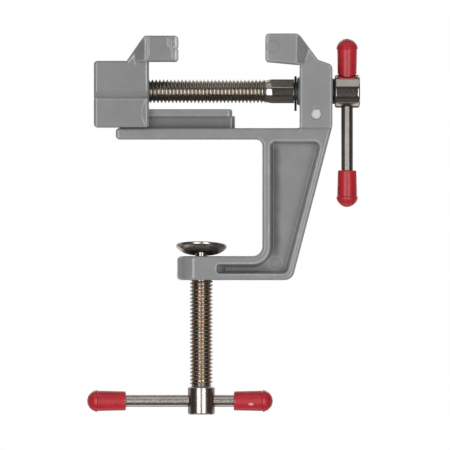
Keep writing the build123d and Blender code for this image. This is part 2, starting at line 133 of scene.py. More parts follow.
class ScrewSettings(bpy.types.PropertyGroup):
    """The turned lengths of both screws."""

    shank: FloatProperty(
        name="Shank radius", description="Plain shank of the lead screw", default=4.03 * MM,
        unit="LENGTH",
    )
    shank_start: FloatProperty(
        name="Shank start", description="Where the plain shank begins, along X", default=23.8 * MM,
        unit="LENGTH",
    )
    shoulder: FloatProperty(
        name="Shoulder", description="Length of the cone between thread and shank", default=1.75 * MM,
        unit="LENGTH",
    )
    slope: FloatProperty(
        name="Slope", description="Slope of that cone", default=math.radians(10), unit="ROTATION"
    )
    tip: FloatProperty(
        name="Tip chamfer", description="Chamfer of the threaded tips", default=0.8 * MM, unit="LENGTH"
    )
    runout: FloatProperty(
        name="Run-out", description="Length over which the lead thread fades", default=2.0 * MM,
        unit="LENGTH",
    )
    chamfer: FloatProperty(
        name="Head chamfer", description="Chamfer of the heads", default=0.4 * MM, unit="LENGTH"
    )
    groove: FloatProperty(
        name="Groove radius", description="Floor of the clip's groove", default=3.0 * MM, unit="LENGTH"
    )
    lead_head: FloatProperty(
        name="Lead head", description="Length of the lead screw's head", default=8.5 * MM,
        unit="LENGTH",
    )
    clamp_head: FloatProperty(
        name="Clamp head", description="Length of the clamp screw's head", default=9.2 * MM,
        unit="LENGTH",
    )
    neck: FloatProperty(
        name="Neck radius", description="Neck over the clamp screw's head", default=3.35 * MM,
        unit="LENGTH",
    )
    neck_length: FloatProperty(
        name="Neck length", description="From the head to the thread", default=1.1 * MM, unit="LENGTH"
    )
    bar_play: FloatProperty(
        name="Bar play", description="Gap round the bar in its hole", default=0.1 * MM, unit="LENGTH"
    )
    segments: IntProperty(name="Segments", description="Segments round a turned form", default=128)


class GripSettings(bpy.types.PropertyGroup):
    """The soft caps on the bars."""

    mouth: FloatProperty(
        name="Mouth radius", description="Outside of the mouth", default=3.2 * MM, unit="LENGTH"
    )
    body: FloatProperty(
        name="Body radius", description="Outside just below the dome", default=3.4 * MM, unit="LENGTH"
    )
    rim: FloatProperty(
        name="Rim radius", description="Lip under the dome", default=3.7 * MM, unit="LENGTH"
    )
    dome: FloatProperty(
        name="Dome height", description="From the lip to the tip", default=3.35 * MM, unit="LENGTH"
    )
    floor: FloatProperty(
        name="Floor", description="Thickness over the bar's end", default=2.3 * MM, unit="LENGTH"
    )
    segments: IntProperty(name="Segments", description="Segments round a cap", default=96)


class PadSettings(bpy.types.PropertyGroup):
    """The pressed swivel pad and its rivet."""

    radius: FloatProperty(name="Radius", description="Over the lip", default=8.55 * MM, unit="LENGTH")
    rim: FloatProperty(name="Rim", description="Height of the rim", default=-35.65 * MM, unit="LENGTH")
    lip: FloatProperty(name="Lip", description="Upright lip", default=0.8 * MM, unit="LENGTH")
    sheet: FloatProperty(name="Sheet", description="Sheet thickness", default=0.9 * MM, unit="LENGTH")
    bowl: FloatProperty(name="Bowl", description="Sag of the side", default=0.45 * MM, unit="LENGTH")
    hub: FloatProperty(name="Hub", description="Hub radius", default=4.7 * MM, unit="LENGTH")
    hub_low: FloatProperty(
        name="Hub height", description="Underside of the hub", default=-38.55 * MM, unit="LENGTH"
    )
    hole: FloatProperty(name="Hole", description="Rivet hole radius", default=2.6 * MM, unit="LENGTH")
    neck: FloatProperty(name="Neck", description="Rivet shank radius", default=2.1 * MM, unit="LENGTH")
    rivet_head: FloatProperty(
        name="Rivet head", description="Height of the rivet's head", default=1.1 * MM, unit="LENGTH"
    )
    level: FloatProperty(
        name="Level", description="Turned back from the solid's lean", default=math.radians(1.3),
        unit="ROTATION",
    )
    segments: IntProperty(name="Segments", description="Segments round the pad", default=128)


class FinishSettings(bpy.types.PropertyGroup):
    """Colours of the finishes."""

    paint: FloatVectorProperty(
        name="Casting paint", description="Grey paint", subtype="COLOR", default=(0.25, 0.252, 0.255)
    )
    bare: FloatVectorProperty(
        name="Bare casting", description="Rubbed aluminium", subtype="COLOR", default=(0.68, 0.68, 0.67)
    )
    nickel: FloatVectorProperty(
        name="Nickel", description="Warm bright plate", subtype="COLOR", default=(0.62, 0.57, 0.52)
    )
    # the two thread colours are a darker and a lighter copy of one plate: painted shade
    lead_thread: FloatVectorProperty(
        name="Lead thread", description="Plate in the thread", subtype="COLOR",
        default=(0.525, 0.48, 0.43),
    )
    clamp_thread: FloatVectorProperty(
        name="Clamp thread", description="Plate in the thread", subtype="COLOR",
        default=(0.6, 0.515, 0.435),
    )
    oxide: FloatVectorProperty(
        name="Black oxide", description="Clip", subtype="COLOR", default=(0.018, 0.017, 0.017)
    )
    vinyl: FloatVectorProperty(
        name="Red vinyl", description="Soft caps", subtype="COLOR", default=(0.47, 0.016, 0.028)
    )
    scuff: FloatVectorProperty(
        name="Scuffed vinyl", description="Scuffs", subtype="COLOR", default=(0.56, 0.07, 0.085)
    )
    # the colour of a painted highlight on the right clamp cap
    painted_highlight: FloatVectorProperty(
        name="Nicked vinyl", description="Pale nick", subtype="COLOR", default=(0.8, 0.5, 0.48)
    )


class StageSettings(bpy.types.PropertyGroup):
    """Floor, light and camera."""

    distance: FloatProperty(
        name="Camera distance", description="From the vise's middle plane", default=5.0, unit="LENGTH"
    )
    view_width: FloatProperty(
        name="View width", description="Width seen at the middle plane", default=152.03 * MM,
        unit="LENGTH",
    )
    view_x: FloatProperty(
        name="View X", description="Middle of the view", default=8.007 * MM, unit="LENGTH"
    )
    view_z: FloatProperty(
        name="View Z", description="Middle of the view", default=-28.885 * MM, unit="LENGTH"
    )
    floor_drop: FloatProperty(
        name="Floor drop", description="Room under the vise", default=32 * MM, unit="LENGTH"
    )
    key: FloatProperty(name="Left softbox", description="Power in watts", default=7.4)
    fill: FloatProperty(name="Right softbox", description="Power in watts", default=6.8)
    back: FloatProperty(name="Back softboxes", description="Power of each, in watts", default=8.0)
    ambient: FloatProperty(name="Ambient", description="World level on rough surfaces", default=0.15)
    front: FloatProperty(name="Front", description="Level in front as metal sees it", default=0.05)


# Meshes


def held(points, hold, closed):
    """The profile with a point near both ends of each long line, so that the line shades straight."""
    points = [Vector(point) for point in points]
    ends = points[1:] + points[:1] if closed else points[1:]
    result = []
    for start, end in zip(points, ends):
        result.append(start)
        along = end - start
        if along.length > 3 * hold:
            step = along.normalized() * hold
            result += [start + step, end - step]
    return result if closed else result + points[-1:]


def bowed(start, end, sag, steps=6):
    """Points from start to end along a line that sags downwards in its middle."""
    points = []
    for step in range(steps + 1):
        share = step / steps
        radius = start[0] + share * (end[0] - start[0])
        height = start[1] + share * (end[1] - start[1])
        points.append((radius, height - 4 * sag * share * (1 - share)))
    return points


def turned(points, segments, closed=False, hold=0.4 * MM):
    """A form turned about Z from (radius, height) points. An open profile ends on the axis."""
    bm = bmesh.new()
    verts = [bm.verts.new((radius, 0, height)) for radius, height in held(points, hold, closed)]
    pairs = list(zip(verts, verts[1:]))
    if closed:
        pairs.append((verts[-1], verts[0]))
    edges = [bm.edges.new(pair) for pair in pairs]
    bmesh.ops.spin(
        bm, geom=verts + edges, cent=(0, 0, 0), axis=(0, 0, 1), angle=math.tau, steps=segments,
        use_merge=True,
    )
    bmesh.ops.remove_doubles(bm, verts=bm.verts, dist=WELD)
    bmesh.ops.recalc_face_normals(bm, faces=bm.faces)
    return bm


def break_edges(bm, width, segments=3):
    """Rounds every sharp edge a little."""
    sharp = [e for e in bm.edges if len(e.link_faces) == 2 and e.calc_face_angle() > SHARP]
    bmesh.ops.bevel(
        bm, geom=sharp, offset=width, offset_type="OFFSET", segments=segments, profile=0.5,
        affect="EDGES", clamp_overlap=True, material=-1,
    )
    return bm


def moved(bm, matrix):
    """The form put in its place."""
    bmesh.ops.transform(bm, matrix=matrix, verts=bm.verts)
    return bm


def set_radius(vert, radius):
    """Moves a point of a form about Z to this radius."""
    now = math.hypot(vert.co.x, vert.co.y)
    if now > WELD:
        vert.co.x *= radius / now
        vert.co.y *= radius / now


def thread_form(thread, length, tip_chamfer, runout, end_radius):
    """A right-hand thread up Z from the origin: chamfered start, fading into a cone at its end."""
    bm = bmesh.new()
    pitch, major = thread.pitch, thread.major
    root = major - thread.depth
    root_half, crest_half = pitch * thread.root / 2, pitch * thread.crest / 2
    hollow, crown = thread.depth * 0.03, thread.depth * 0.06
    profile = [
        (root, 0),
        (root + hollow, root_half),
        (major - crown, pitch / 2 - crest_half),
        (major, pitch / 2),
        (major - crown, pitch / 2 + crest_half),
        (root + hollow, pitch - root_half),
        (root, pitch),
    ]
    verts = [bm.verts.new((radius, 0, height - 2 * pitch)) for radius, height in profile]
    edges = [bm.edges.new(pair) for pair in zip(verts, verts[1:])]
    bmesh.ops.spin(
        bm, geom=verts + edges, cent=(0, 0, 0), axis=(0, 0, 1), dvec=(0, 0, pitch / thread.steps),
        angle=math.tau, steps=thread.steps,
    )
    turns = 1
    while turns < length / pitch + 4:
        copied = bmesh.ops.duplicate(bm, geom=bm.verts[:] + bm.edges[:] + bm.faces[:])["geom"]
        verts = [item for item in copied if isinstance(item, bmesh.types.BMVert)]
        bmesh.ops.translate(bm, verts=verts, vec=(0, 0, pitch * turns))
        turns *= 2
    bmesh.ops.remove_doubles(bm, verts=bm.verts, dist=WELD)
    for height, outwards in ((0, -1), (length, 1)):
        everything = bm.verts[:] + bm.edges[:] + bm.faces[:]
        bmesh.ops.bisect_plane(
            bm, geom=everything, plane_co=(0, 0, height), plane_no=(0, 0, outwards), clear_outer=True
        )
    for vert in bm.verts:
        radius = math.hypot(vert.co.x, vert.co.y)
        radius = min(radius, major - tip_chamfer + vert.co.z)
        share = (vert.co.z - length + runout) / runout
        if share > 0:
            radius = max(radius, root + share * (end_radius - root))
        set_radius(vert, radius)
    bmesh.ops.edgeloop_fill(bm, edges=[edge for edge in bm.edges if edge.is_boundary])
    bmesh.ops.recalc_face_normals(bm, faces=bm.faces)
    return bm


def bar_hole(screw, head_radius):
    """A rod along Z that cuts the bar's hole through a head of this radius."""
    radius, reach = BAR_R + screw.bar_play, 2 * head_radius
    return turned([(0, -reach), (radius, -reach), (radius, reach), (0, reach)], screw.segments // 2)


def drilled(bm, hole):
    """The form with the hole's form taken out of it."""
    solids = []
    for name, form in (("body", bm), ("hole", hole)):
        mesh = bpy.data.meshes.new(name)
        form.to_mesh(mesh)
        form.free()
        solid = bpy.data.objects.new(name, mesh)
        bpy.context.scene.collection.objects.link(solid)
        solids.append(solid)
    cut = solids[0].modifiers.new("hole", "BOOLEAN")
    cut.object = solids[1]
    cut.solver = "EXACT"
    result = bmesh.new()
    result.from_object(solids[0], bpy.context.evaluated_depsgraph_get())
    for solid in solids:
        bpy.data.meshes.remove(solid.data)
    return result


def together(*forms):
    """Several closed forms as one mesh."""
    whole = bmesh.new()
    for form in forms:
        mesh = bpy.data.meshes.new("part")
        form.to_mesh(mesh)
        form.free()
        whole.from_mesh(mesh)
        bpy.data.meshes.remove(mesh)
    return whole


def piece(name, bm, material, body, slot, *nodes):
    """Makes the form an object that rides on a body and stands for these nodes."""
    mesh = bpy.data.meshes.new(name)
    bm.to_mesh(mesh)
    bm.free()
    mesh.shade_smooth()
    mesh.set_sharp_from_angle(angle=SHARP)
    mesh.materials.append(material)
    made = bpy.data.objects.new(name, mesh)
    bpy.context.scene.collection.objects.link(made)
    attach(made, body)
    if nodes:
        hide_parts(*nodes)
    return made


def dress(node, material):
    """Gives a piece of the frame its finish."""
    mesh = frame["nodes"][node].data
    mesh.materials.clear()
    mesh.materials.append(material)


# Finishes


def feed(tree, socket, value):
    """Links a socket, or sets it to a number, a vector or a colour."""
    if isinstance(value, bpy.types.NodeSocket):
        tree.links.new(value, socket)
    elif socket.type == "RGBA":
        socket.default_value = (*value, 1)
    else:
        socket.default_value = value


def add(tree, kind, inputs=None, **settings):
    """Adds a node, with its inputs set or linked."""
    node = tree.nodes.new(kind)
    for name, value in settings.items():
        setattr(node, name, value)
    for name, value in (inputs or {}).items():
        feed(tree, node.inputs[name], value)
    return node


def start_finish(name):
    """A new material with its tree, shader and object coordinates."""
    material = bpy.data.materials.new(name)
    material.use_nodes = True
    tree = material.node_tree
    coords = add(tree, "ShaderNodeTexCoord").outputs["Object"]
    return material, tree, tree.nodes["Principled BSDF"], coords


def grain(tree, coords, size, detail=3.0, rough=0.55):
    """Noise whose features are about this large, from 0 to 1."""
    inputs = {"Vector": coords, "Scale": 1 / size, "Detail": detail, "Roughness": rough}
    return add(tree, "ShaderNodeTexNoise", inputs).outputs["Fac"]


def stretched(tree, coords, scale):
    """Coordinates squeezed along each axis."""
    return add(tree, "ShaderNodeMapping", {"Vector": coords, "Scale": scale}).outputs["Vector"]


def ramp(tree, value, low, high, to_low=0.0, to_high=1.0):
    """The value between two limits brought to another range."""
    inputs = {"Value": value, "From Min": low, "From Max": high, "To Min": to_low, "To Max": to_high}
    return add(tree, "ShaderNodeMapRange", inputs, interpolation_type="SMOOTHSTEP").outputs["Result"]


def math_node(tree, operation, first, second):
    """One sum on two values."""
    return add(tree, "ShaderNodeMath", {0: first, 1: second}, operation=operation).outputs[0]


def product(tree, first, *others):
    """The values multiplied."""
    for value in others:
        first = math_node(tree, "MULTIPLY", first, value)
    return first


def largest(tree, first, *others):
    """The largest of the values."""
    for value in others:
        first = math_node(tree, "MAXIMUM", first, value)
    return first


def off_centre(tree, value, centre=0.0):
    """How far the value is from a centre, to either side."""
    return math_node(tree, "ABSOLUTE", math_node(tree, "SUBTRACT", value, centre), 0.0)


def wander(tree, noise, reach):
    """The noise as a shift of up to this reach, to either side."""
    return ramp(tree, noise, 0.3, 0.7, -reach, reach)


def vector_node(tree, operation, inputs):
    """One sum on vectors. Lengths and dot products give a value, the others a vector."""
    output = "Value" if operation in ("DISTANCE", "LENGTH", "DOT_PRODUCT") else "Vector"
    return add(tree, "ShaderNodeVectorMath", inputs, operation=operation).outputs[output]


def openness(tree, distance, samples, inside=False):
    """How open a point is, within this distance: low in corners or, from inside, low at edges."""
    settings = {"inside": inside, "only_local": True, "samples": samples}
    return add(tree, "ShaderNodeAmbientOcclusion", {"Distance": distance}, **settings).outputs["AO"]


def blend_colour(tree, share, first, second):
    """The first colour, going over to the second. The node's colour sockets come after the others."""
    inputs = {0: share, 6: first, 7: second}
    return add(tree, "ShaderNodeMix", inputs, data_type="RGBA").outputs[2]


def tint(colour, factor):
    """A colour made lighter or darker."""
    return [min(1.0, channel * factor) for channel in colour]


def bump(tree, height, depth, strength):
    """Normals for a relief of this depth."""
    inputs = {"Height": height, "Distance": depth, "Strength": strength}
    return add(tree, "ShaderNodeBump", inputs).outputs["Normal"]


def set_shader(tree, shader, **inputs):
    """Sets or links the shader's sockets, named with underscores."""
    for name, value in inputs.items():
        feed(tree, shader.inputs[name.replace("_", " ")], value)


def line_mask(tree, flat, lines, width):
    """A mask over lines through (x, z) points in millimetres on the front."""
    mask = 0.0
    for line in lines:
        points = [Vector((x, 0, z)) * MM for x, z in line]
        for start, end in zip(points, points[1:]):
            along = end - start
            away = vector_node(tree, "SUBTRACT", {0: flat, 1: start})
            share = vector_node(tree, "DOT_PRODUCT", {0: away, 1: along / along.length_squared})
            share = add(tree, "ShaderNodeClamp", {"Value": share}).outputs[0]
            near = vector_node(tree, "SCALE", {0: along, "Scale": share})
            off = vector_node(tree, "DISTANCE", {0: away, 1: near})
            mask = largest(tree, mask, ramp(tree, off, width * 0.3, width, 1.0, 0.0))
    return mask


def rubbed_face(tree, coords, depth, height, rub):
    """A mask of the bare strip along a jaw's face and of the streaks behind it."""
    uneven = wander(tree, grain(tree, coords, 1.6 * MM), 0.2 * MM)
    strip = ramp(tree, math_node(tree, "ADD", depth, uneven), 0.9 * MM, 1.6 * MM, rub, 0.0)
    streaks = grain(tree, stretched(tree, coords, (1, 1, 0.25)), 0.9 * MM, detail=4.0)
    scuffed = ramp(tree, depth, 1 * MM, 5 * MM, rub, 0.0)
    scuffed = product(tree, scuffed, 0.8, ramp(tree, streaks, 0.52, 0.66))
    on_jaw = ramp(tree, height, JAWS_UNDERSIDE, JAWS_UNDERSIDE + 0.6 * MM)
    return product(tree, largest(tree, strip, scuffed), on_jaw)


def pocket_wall_shadow(tree, coords, place):
    """A mask of a painted shadow along the inner wall of the leg's pockets."""
    wavy = wander(tree, grain(tree, coords, 6 * MM), 0.4 * MM)
    full, gone = POCKET_WALL + 2.6 * MM, POCKET_WALL + 5.3 * MM
    wall_shadow = ramp(tree, math_node(tree, "ADD", place["X"], wavy), full, gone, 0.72, 0.0)
    in_pocket = math_node(tree, "GREATER_THAN", place["X"], POCKET_WALL)
    deep = ramp(tree, off_centre(tree, place["Y"]), POCKET_FLOOR, POCKET_FLOOR + MM, 1.0, 0.0)
    lower_end = ramp(tree, place["Z"], -42 * MM, -36 * MM)
    upper_end = ramp(tree, place["Z"], -4 * MM, -1 * MM, 1.0, 0.0)
    return product(tree, wall_shadow, in_pocket, deep, lower_end, upper_end)


def rail_shade(tree, place):
    """A mask of painted shade under the rail's head and on the rail's stem."""
    corner = off_centre(tree, place["Z"], RAIL_HEAD_LOW)
    corner = ramp(tree, corner, 0.1 * MM, 0.4 * MM, 0.75, 0.0)
    stem_shade = off_centre(tree, place["Z"], RAIL_STEM_MIDDLE)
    stem_shade = ramp(tree, stem_shade, 1.7 * MM, 2.0 * MM, 0.36, 0.0)
    on_stem = math_node(tree, "LESS_THAN", off_centre(tree, place["Y"]), RAIL_STEM_HALF)
    on_rail = math_node(tree, "LESS_THAN", place["X"], RAIL_END)
    return product(tree, largest(tree, corner, product(tree, stem_shade, on_stem)), on_rail)


def casting_paint(name, finish, face, inwards, marks, lines, rub, tone, painted_shadows=False):
    """Satin grey paint over a die casting, with a painted highlight on the edges, and rubbed off at the
    jaw's face. The pin marks on its front, given as (x, z, bare radius), have a dark rim. The lines are
    burrs and painted highlights along fillets. Painted shade darkens corners and recesses; where asked,
    a painted shadow lies along the leg's pockets and painted shade under the rail's head and on its
    stem."""
    material, tree, shader, coords = start_finish(name)
    paint = tint(finish.paint, tone)
    place = add(tree, "ShaderNodeSeparateXYZ", {"Vector": coords}).outputs
    flat = add(tree, "ShaderNodeCombineXYZ", {"X": place["X"], "Z": place["Z"]}).outputs[0]
    front = math_node(tree, "LESS_THAN", place["Y"], 0.0)
    fine = grain(tree, coords, 0.5 * MM, detail=5.0)
    ragged = wander(tree, fine, 0.4 * MM)

    # Paint, paler on the edges as a painted highlight, where the paint is also thin
    mottle = ramp(tree, grain(tree, coords, 7 * MM), 0.3, 0.7)
    colour = blend_colour(tree, mottle, tint(paint, 0.96), tint(paint, 1.04))
    edge = ramp(tree, openness(tree, 1 * MM, 12, inside=True), 0.7, 0.95, 1.0, 0.0)
    worn = product(tree, edge, ramp(tree, grain(tree, coords, 2 * MM), 0.5, 0.66))
    # painted highlight: the edges go over to a paler paint
    colour = blend_colour(tree, product(tree, edge, 0.9), colour, tint(paint, 1.7))

    # Bare metal at the jaw's face, in the pin marks and on the burrs; the same pale colour paints
    # highlights along fillets
    depth = product(tree, math_node(tree, "SUBTRACT", place["X"], face), inwards)
    rubbed = rubbed_face(tree, coords, depth, place["Z"], rub)
    for x, z, radius in marks:
        away = vector_node(tree, "DISTANCE", {0: flat, 1: (x, 0, z)})
        if radius:
            spot = math_node(tree, "ADD", away, ragged)
            spot = ramp(tree, spot, radius * 0.8, radius * 1.2, 1.0, 0.0)
            rubbed = largest(tree, rubbed, product(tree, spot, front))
        rim = ramp(tree, off_centre(tree, away, PIN_MARK_R), 0.1 * MM, 0.3 * MM, 0.5, 0.0)
        colour = blend_colour(tree, product(tree, rim, front), colour, tint(paint, 0.5))
    # burrs, and painted highlights on the lines along fillet edges
    burrs_and_highlights = product(tree, line_mask(tree, flat, lines, 0.28 * MM), front)
    burrs_and_highlights = product(tree, burrs_and_highlights, ramp(tree, fine, 0.35, 0.6, 0.1, 0.5))
    bare = largest(tree, product(tree, worn, 0.4), rubbed, burrs_and_highlights)
    colour = blend_colour(tree, bare, colour, finish.bare)

    # Painted shade in the corners and recesses, then the painted shadow in the pockets and painted
    # shade on the rail
    corner_shade = ramp(tree, openness(tree, 3 * MM, 8), 0.3, 0.9, 0.45, 0.0)
    # painted shade: corners and recesses go over to a darker paint
    colour = blend_colour(tree, corner_shade, colour, tint(paint, 0.55))
    if painted_shadows:
        for mask in (pocket_wall_shadow(tree, coords, place), rail_shade(tree, place)):
            # the painted shadow and the painted shade darken the paint
            colour = blend_colour(tree, mask, colour, tint(paint, 0.3))
    relief = math_node(tree, "ADD", fine, grain(tree, coords, 1.8 * MM))
    set_shader(
        tree, shader,
        Base_Color=colour,
        Roughness=ramp(tree, fine, 0.2, 0.8, 0.18, 0.25),
        Metallic=product(tree, bare, 0.15),
        Normal=bump(tree, relief, 0.008 * MM, 0.4),
        Specular_IOR_Level=0.9,
    )
    return material


def nickel_plate(
    name, finish, polish, turned_along, cut=None, brown=None, shade=1.0, rim=0.4, pitting=0.16
):
    """Bright warm nickel with fine turning marks, pits and a few dull patches. A thread is cut between
    the two heights of cut, and is brown there. The polish is its roughness, and the rim how bright it
    is at a grazing look. The shade darkens this copy of the plate as painted shade, so that a piece
    comes out darker than others of the same plate."""
    material, tree, shader, coords = start_finish(name)
    patches = ramp(tree, grain(tree, coords, 4 * MM), 0.35, 0.7)
    colour = blend_colour(tree, patches, tint(finish.nickel, shade), tint(finish.nickel, 0.9 * shade))
    squeeze = [1, 1, 1]
    squeeze["XYZ".index(turned_along)] = 14
    marks = grain(tree, stretched(tree, coords, squeeze), 1.4 * MM, detail=4.0)
    specks = ramp(tree, grain(tree, coords, 0.7 * MM), 0.68, 0.76)
    colour = blend_colour(tree, product(tree, specks, 0.5), colour, tint(finish.nickel, 0.5))
    pits = ramp(tree, grain(tree, coords, 0.35 * MM, detail=1.0), 0.58, 0.72, 1.6, 0.0)
    dull = ramp(tree, marks, 0.3, 0.7, 0.0, 0.07)
    dull = math_node(tree, "ADD", dull, product(tree, specks, 0.15))
    if cut:
        fade, thread_polish = 0.1 * MM, 0.18
        height = add(tree, "ShaderNodeSeparateXYZ", {"Vector": coords}).outputs[turned_along]
        low = ramp(tree, height, cut[0] - fade, cut[0] + fade)
        high = ramp(tree, height, cut[1] - fade, cut[1] + fade, 1.0, 0.0)
        threaded = product(tree, low, high)
        colour = blend_colour(tree, threaded, colour, brown)
        polish = ramp(tree, threaded, 0.0, 1.0, polish, thread_polish)
    set_shader(
        tree, shader,
        Base_Color=colour,
        Metallic=1.0,
        Roughness=math_node(tree, "ADD", dull, polish),
        Normal=bump(tree, math_node(tree, "ADD", marks, pits), 0.01 * MM, pitting),
        Specular_Tint=(rim, rim, rim),
    )
    return material


def black_oxide(name, finish):
    """Oiled black spring steel, greyer where it is stamped and rubbed."""
    material, tree, shader, coords = start_finish(name)
    rub = ramp(tree, grain(tree, coords, 0.9 * MM, detail=5.0), 0.5, 0.75)
    set_shader(
        tree, shader,
        Base_Color=blend_colour(tree, rub, finish.oxide, tint(finish.oxide, 2.6)),
        Metallic=0.55,
        Roughness=ramp(tree, rub, 0.0, 1.0, 0.32, 0.5),
        Normal=bump(tree, grain(tree, coords, 0.3 * MM), 0.01 * MM, 0.3),
    )
    return material


def red_vinyl(name, finish):
    """Dipped soft vinyl: glossy, a little uneven, with faint pale scuffs and a painted highlight on one
    cap.
    """
    material, tree, shader, coords = start_finish(name)
    tone = ramp(tree, grain(tree, coords, 3.5 * MM), 0.3, 0.7)
    colour = blend_colour(tree, tone, tint(finish.vinyl, 0.9), tint(finish.vinyl, 1.08))
    scuff = ramp(tree, grain(tree, coords, 0.8 * MM, detail=6.0), 0.6, 0.75, 0.0, 0.35)
    colour = blend_colour(tree, scuff, colour, finish.scuff)
    # a painted highlight: a pale oval spot on the right clamp cap
    away = vector_node(tree, "SUBTRACT", {0: coords, 1: CAP_PAINTED_HIGHLIGHT})
    away = vector_node(tree, "LENGTH", {0: stretched(tree, away, (1, 1, 2))})
    painted_highlight = ramp(tree, away, 0.5 * MM, 1.1 * MM, 0.75, 0.0)
    colour = blend_colour(tree, painted_highlight, colour, finish.painted_highlight)
    set_shader(
        tree, shader,
        Base_Color=colour,
        Roughness=ramp(tree, scuff, 0.0, 0.35, 0.3, 0.42),
        Normal=bump(tree, grain(tree, coords, 2.6 * MM, detail=1.0), 0.05 * MM, 0.2),
        Specular_IOR_Level=0.5,
        Subsurface_Weight=0.08,
        Subsurface_Radius=(0.8 * MM, 0.2 * MM, 0.2 * MM),
    )
    return material


# Operators, one for each piece or group of like pieces


class VISE_OT_castings(bpy.types.Operator):
    """Paint the frame and the sliding jaw and add the hub on the column"""

    bl_idname = "vise.castings"
    bl_label = "Castings"

    def hub(self):
        """A cast ring that stands round the bore on the column."""
        bore, brow, shoulder, foot = 4.15 * MM, 4.4 * MM, 4.65 * MM, 4.8 * MM
        left, bend, right = 32.3 * MM, 32.6 * MM, 33.3 * MM
        segments = 48
        points = [(bore, left), (brow, left), (shoulder, bend), (foot, right), (bore, right)]
        return moved(turned(points, segments, closed=True), ON_LEAD_AXIS)

    def execute(self, context):
        finish = context.scene.vise_finish
        pin_marks = [(24.2 * MM, 31.2 * MM, 0), (38.75 * MM, 8.6 * MM, 1.4 * MM)]
        # a painted highlight along the fillet where the fixed jaw's neck meets the column
        neck_highlight = [[(36.4, 30.0), (35.7, 27.7), (35.0, 26.7)]]
        frame_paint = casting_paint(
            "frame_paint", finish, FIXED_FACE, 1, pin_marks, neck_highlight, rub=0.15, tone=1.03, painted_shadows=True
        )
        dress("vise_frame", frame_paint)
        jaw_burrs_and_highlights = [
            [(-18.9, 13.2), (-20.1, 10.0), (-20.1, 7.9), (-19.1, 5.1), (-19.0, 4.6)],
            [(-18.5, 26.2), (-18.7, 22.8), (-18.4, 18.1)],
            [(-18.9, 35.0), (-19.0, 27.0)],
            [(-18.2, 34.6), (-18.1, 27.0)],
            [(-17.6, 35.0), (-17.6, 28.0)],
            [(-11.5, 34.2), (-11.3, 31.2)],
            [(-10.9, 33.6), (-10.8, 31.0)],
            [(-10.0, 33.2), (-10.2, 29.8)],
            # a painted highlight along the fillet at the sliding jaw's neck; the lines above are burrs
            [(-24.7, 26.1), (-22.6, 28.2), (-22.8, 26.7), (-22.2, 25.4)],
        ]
        jaw_paint = casting_paint(
            "jaw_paint", finish, SLIDING_FACE, -1, [], jaw_burrs_and_highlights, rub=0.6, tone=0.95
        )
        dress("sliding_jaw", jaw_paint)
        piece("column_hub", self.hub(), frame_paint, "frame", "casting_paint")
        return {"FINISHED"}


class VISE_OT_lead_screw(bpy.types.Operator):
    """Cut the lead screw's thread and turn its shank and head"""

    bl_idname = "vise.lead_screw"
    bl_label = "Lead screw"

    def execute(self, context):
        thread, screw = context.scene.vise_thread, context.scene.vise_screw
        cone_start = screw.shank_start - screw.shoulder
        cone = screw.shank - screw.shoulder * math.tan(screw.slope)
        threaded = thread_form(thread, cone_start - LEAD_LOW.x, screw.tip, screw.runout, cone)
        moved(threaded, Matrix.Translation((0, 0, LEAD_LOW.x)))
        head_left = LEAD_HIGH.x - screw.lead_head
        clip_play = 0.1 * MM
        groove_left, groove_right = CLIP_LOW.x - clip_play, CLIP_HIGH.x + clip_play
        body = turned(
            [
                (0, cone_start),
                (cone, cone_start),
                (screw.shank, screw.shank_start),
                (screw.shank, groove_left),
                (screw.groove, groove_left),
                (screw.groove, groove_right),
                (screw.shank, groove_right),
                (screw.shank, head_left),
                (LEAD_HEAD_R - screw.chamfer, head_left),
                (LEAD_HEAD_R, head_left + screw.chamfer),
                (LEAD_HEAD_R, LEAD_HIGH.x - screw.chamfer),
                (LEAD_HEAD_R - screw.chamfer, LEAD_HIGH.x),
                (0, LEAD_HIGH.x),
            ],
            screw.segments,
        )
        break_edges(body, EDGE_BREAK)
        across = Matrix.Translation((0, 0, LEAD_BAR_X)) @ ALONG_X.inverted()
        hole = moved(bar_hole(screw, LEAD_HEAD_R), across)
        whole = moved(together(threaded, drilled(body, hole)), ON_LEAD_AXIS)
        cut = (LEAD_LOW.x, screw.shank_start)
        finish = context.scene.vise_finish
        steel = nickel_plate("lead_screw_nickel", finish, 0.08, "X", cut, finish.lead_thread)
        piece("lead_screw_threaded", whole, steel, "lead_spindle", "plated_steel", "lead_screw")
        return {"FINISHED"}


class VISE_OT_clamp_screw(bpy.types.Operator):
    """Cut the clamp screw's thread and turn its head"""

    bl_idname = "vise.clamp_screw"
    bl_label = "Clamp screw"

    def execute(self, context):
        thread, screw = context.scene.vise_thread, context.scene.vise_screw
        head_top = CLAMP_LOW.z + screw.clamp_head
        neck_top = head_top + screw.neck_length
        runout, top_chamfer = 1.2 * MM, 0.2 * MM
        threaded = thread_form(thread, CLAMP_HIGH.z - neck_top, screw.tip, runout, screw.neck)
        flip = Matrix.Rotation(math.pi, 4, "X")
        moved(threaded, Matrix.Translation((0, 0, CLAMP_HIGH.z)) @ flip)
        body = turned(
            [
                (0, neck_top),
                (screw.neck, neck_top),
                (screw.neck + 0.1 * MM, head_top + 0.3 * MM),
                (CLAMP_HEAD_R - top_chamfer, head_top),
                (CLAMP_HEAD_R, head_top - top_chamfer),
                (CLAMP_HEAD_R, CLAMP_LOW.z + screw.chamfer),
                (CLAMP_HEAD_R - screw.chamfer, CLAMP_LOW.z),
                (0, CLAMP_LOW.z),
            ],
            screw.segments,
        )
        break_edges(body, EDGE_BREAK)
        hole = moved(bar_hole(screw, CLAMP_HEAD_R), ON_CLAMP_BAR)
        whole = together(threaded, drilled(body, hole))
        cut = (neck_top, CLAMP_HIGH.z)
        finish = context.scene.vise_finish
        # the clamp screw's plate is darkened a little as painted shade
        steel = nickel_plate(
            "clamp_screw_nickel", finish, 0.19, "Z", cut, finish.clamp_thread, shade=0.8, rim=0.65
        )
        piece("clamp_screw_threaded", whole, steel, "clamp_spindle", "plated_steel", "clamp_screw")
        return {"FINISHED"}


